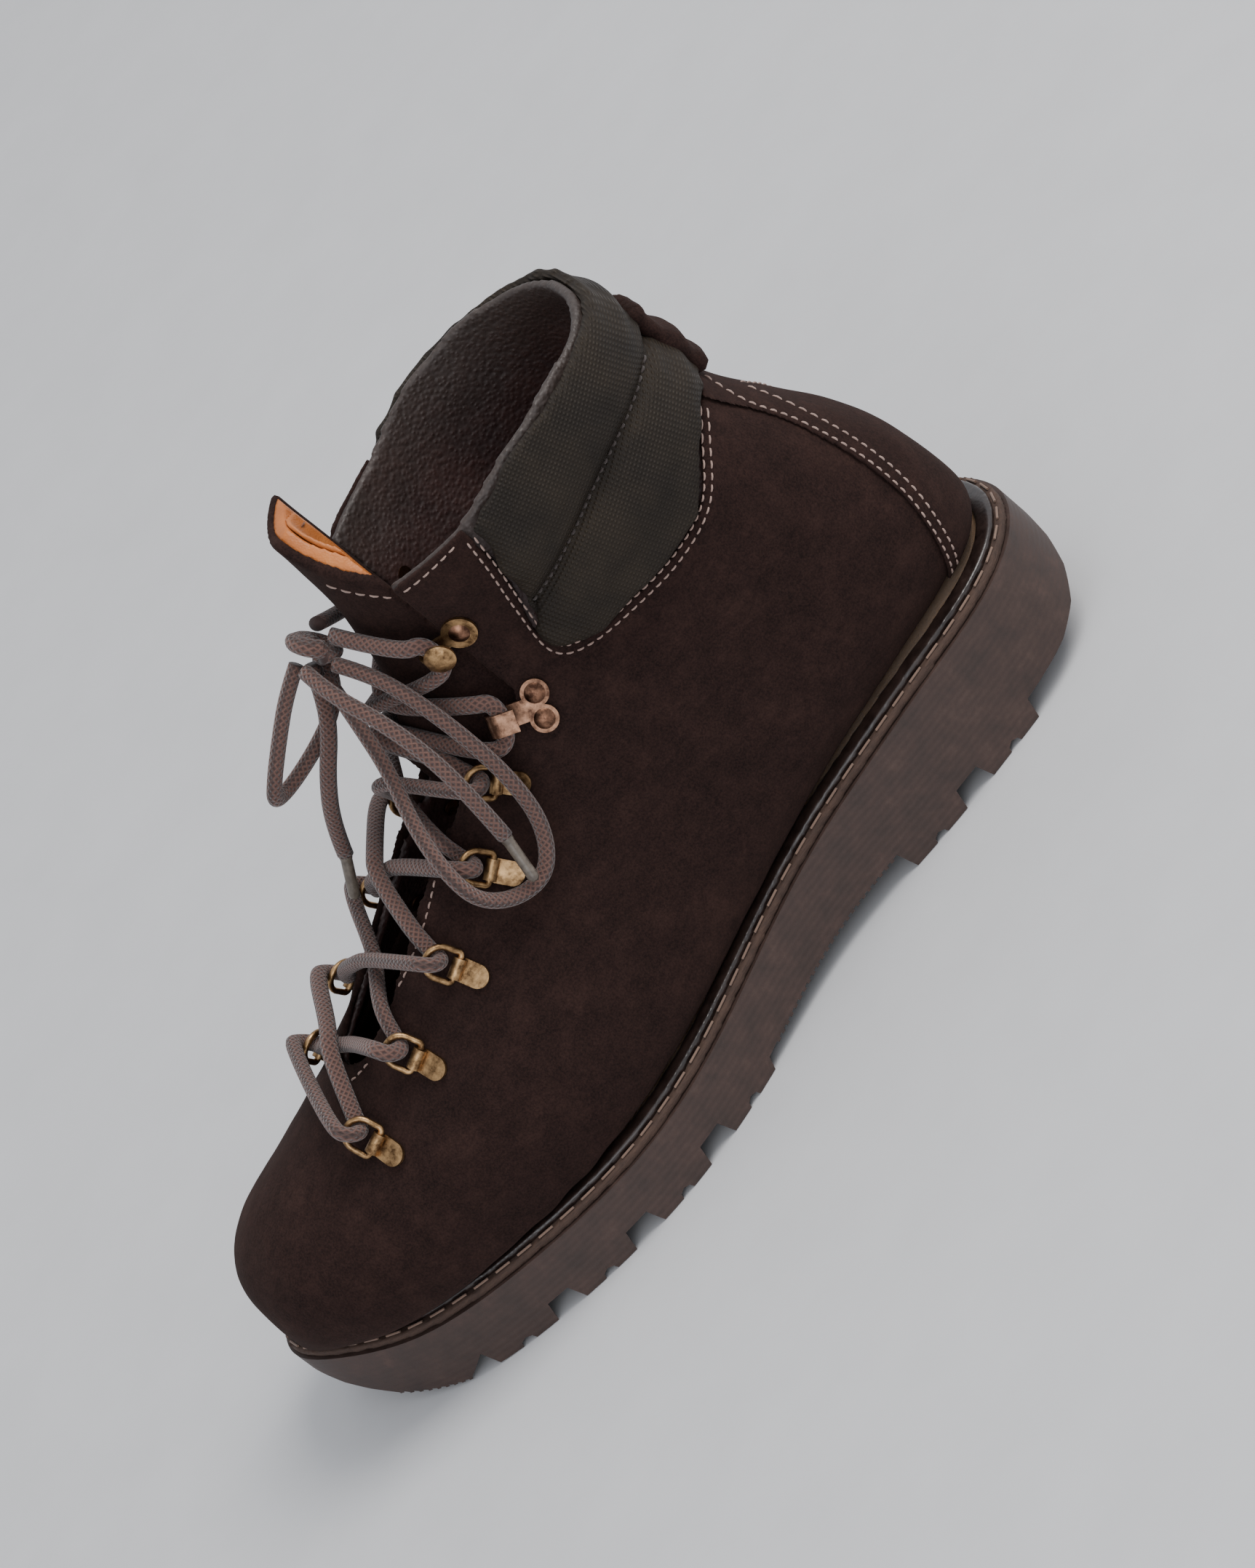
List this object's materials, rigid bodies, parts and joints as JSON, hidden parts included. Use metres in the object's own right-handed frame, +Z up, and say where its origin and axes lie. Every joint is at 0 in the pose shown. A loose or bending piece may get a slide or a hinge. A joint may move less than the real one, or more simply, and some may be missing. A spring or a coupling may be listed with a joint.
{
  "type": "hiking boot",
  "caption": "Ankle-high suede hiking boot, left foot, with a padded leather collar, ring and hook lacing, a bellows tongue and a lugged rubber sole.",
  "frame": {"origin": "centre of the sole's outline, on the floor it stands on", "axes": "+Z up, -Y towards the toe, +X towards the outer (lateral) side of this left boot"},
  "size_m": [0.1084, 0.311, 0.1951],
  "materials": {
    "sole_rubber": "matt moulded brown rubber",
    "bead": "glossy dark piping",
    "welt": "rough brown strip",
    "thread": "pale waxed thread",
    "cork": "bottom filler",
    "steel": "plain strip",
    "board": "fibre board",
    "footbed": "felted top",
    "suede": "dark chocolate suede with a short nap",
    "collar_leather": "soft leather with a fine embossed grain",
    "foam": "soft padding",
    "lining_leather": "pebbled brown leather",
    "tan_leather": "smooth cognac leather",
    "stiffener": "moulded stiffener",
    "brass": "antique brass, worn bright on the edges",
    "dark_brass": "dark bronzed rivets",
    "lace": "oval braid",
    "aglet": "translucent grey-brown tip"
  },
  "bodies": {
    "boot": {"outsole": "sole_rubber", "welt": "welt", "welt_stitches": "thread", "rand_bead": "bead", "filler": "cork", "shank": "steel", "insole_board": "board", "footbed": "footbed", "upper": "suede", "backstay": "suede", "back_tab": "suede", "collar_cover": "collar_leather", "collar_foam": "foam", "lining": "lining_leather", "heel_counter": "stiffener", "toe_puff": "stiffener", "tongue": "suede", "tongue_foam": "foam", "tongue_lining": "tan_leather", "tongue_patch": "tan_leather", "gusset_lateral": "suede", "gusset_medial": "suede", "clip_rivets": "dark_brass", "hook_rivets": "dark_brass", "lace_laced": "lace", "lace_loop_near": "lace", "lace_end_near": "lace", "lace_loop_far": "lace", "lace_end_far": "lace", "lace_knot": "lace", "aglet_near": "aglet", "aglet_far": "aglet", "hook_lower_lateral": "brass", "hook_upper_lateral": "brass", "ring_clip_lateral_1": "brass", "ring_clip_lateral_2": "brass", "ring_clip_lateral_3": "brass", "ring_clip_lateral_4": "brass", "ring_clip_lateral_5": "brass", "hook_lower_medial": "brass", "hook_upper_medial": "brass", "ring_clip_medial_1": "brass", "ring_clip_medial_2": "brass", "ring_clip_medial_3": "brass", "ring_clip_medial_4": "brass", "ring_clip_medial_5": "brass"},
    "ring_lateral_1": {"d_ring_lateral_1": "brass"},
    "ring_lateral_2": {"d_ring_lateral_2": "brass"},
    "ring_lateral_3": {"d_ring_lateral_3": "brass"},
    "ring_lateral_4": {"d_ring_lateral_4": "brass"},
    "ring_lateral_5": {"d_ring_lateral_5": "brass"},
    "ring_medial_1": {"d_ring_medial_1": "brass"},
    "ring_medial_2": {"d_ring_medial_2": "brass"},
    "ring_medial_3": {"d_ring_medial_3": "brass"},
    "ring_medial_4": {"d_ring_medial_4": "brass"},
    "ring_medial_5": {"d_ring_medial_5": "brass"}
  },
  "joints": [
    {"name": "swing_lateral_1", "type": "hinge", "parent": "boot", "child": "ring_lateral_1", "pos_m": [0.02753, -0.09197, 0.07099], "axis": [0.1007, 0.9527, 0.2866], "range_deg": [-15, 15], "deforming": ["lace_laced"]},
    {"name": "swing_lateral_2", "type": "hinge", "parent": "boot", "child": "ring_lateral_2", "pos_m": [0.03115, -0.06666, 0.07952], "axis": [0.1054, 0.9279, 0.3577], "range_deg": [-15, 15], "deforming": ["lace_laced"]},
    {"name": "swing_lateral_3", "type": "hinge", "parent": "boot", "child": "ring_lateral_3", "pos_m": [0.03368, -0.04061, 0.08865], "axis": [-0.0144, 0.9381, 0.346], "range_deg": [-15, 15], "deforming": ["lace_laced"]},
    {"name": "swing_lateral_4", "type": "hinge", "parent": "boot", "child": "ring_lateral_4", "pos_m": [0.03128, -0.01402, 0.09815], "axis": [-0.176, 0.8821, 0.437], "range_deg": [-15, 15], "deforming": ["lace_laced"]},
    {"name": "swing_lateral_5", "type": "hinge", "parent": "boot", "child": "ring_lateral_5", "pos_m": [0.02832, 0.0053, 0.11202], "axis": [0.021, 0.8013, 0.5978], "range_deg": [-15, 15], "deforming": ["lace_laced"]},
    {"name": "swing_medial_1", "type": "hinge", "parent": "boot", "child": "ring_medial_1", "pos_m": [-0.02293, -0.08322, 0.07575], "axis": [-0.0578, 0.9643, 0.2585], "range_deg": [-15, 15], "deforming": ["lace_laced"]},
    {"name": "swing_medial_2", "type": "hinge", "parent": "boot", "child": "ring_medial_2", "pos_m": [-0.02509, -0.06277, 0.08098], "axis": [-0.0035, 0.9531, 0.3027], "range_deg": [-15, 15], "deforming": ["lace_laced"]},
    {"name": "swing_medial_3", "type": "hinge", "parent": "boot", "child": "ring_medial_3", "pos_m": [-0.02446, -0.0378, 0.0891], "axis": [0.0792, 0.9307, 0.3571], "range_deg": [-15, 15], "deforming": ["lace_laced"]},
    {"name": "swing_medial_4", "type": "hinge", "parent": "boot", "child": "ring_medial_4", "pos_m": [-0.02253, -0.0122, 0.10029], "axis": [0.0672, 0.8602, 0.5056], "range_deg": [-15, 15], "deforming": ["lace_laced"]},
    {"name": "swing_medial_5", "type": "hinge", "parent": "boot", "child": "ring_medial_5", "pos_m": [-0.0213, 0.00524, 0.11419], "axis": [-0.0879, 0.8355, 0.5425], "range_deg": [-15, 15], "deforming": ["lace_laced"]}
  ]
}
